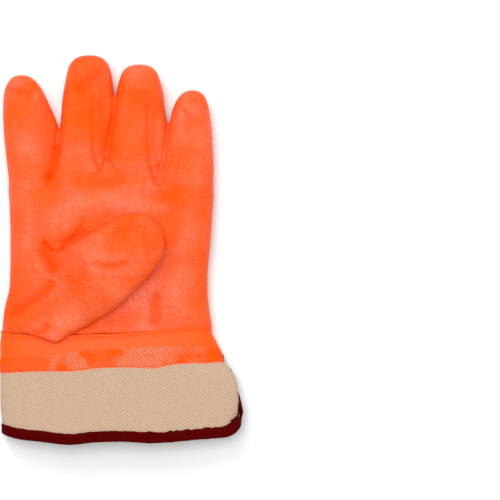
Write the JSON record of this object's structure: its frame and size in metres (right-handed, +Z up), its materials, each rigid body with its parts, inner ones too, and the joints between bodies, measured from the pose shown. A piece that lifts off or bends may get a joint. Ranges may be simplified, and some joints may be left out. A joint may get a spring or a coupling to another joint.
{
  "type": "pvc coated work glove",
  "caption": "Left hand coated work glove lying palm up, thumb folded over the palm, with a flared canvas safety cuff, side slit and bound edges.",
  "frame": {"origin": "middle of the glove's outline, on the surface that it lies on", "axes": "+Z up out of the palm, +Y from the cuff to the fingertips, +X to the little finger side"},
  "size_m": [0.17, 0.2712, 0.0428],
  "materials": {
    "matte_coating": "fluorescent orange PVC coat, semi matt, fine pebble",
    "gloss_coating": "thin orange PVC coat over twill, glossy at the dip line",
    "canvas": "natural cotton twill canvas, stiffened",
    "binding_tape": "dark red woven cotton tape"
  },
  "bodies": {
    "root": {"hand_shell": "matte_coating", "coated_band": "gloss_coating", "cuff_canvas": "canvas", "cuff_binding": "binding_tape"}
  },
  "joints": []
}
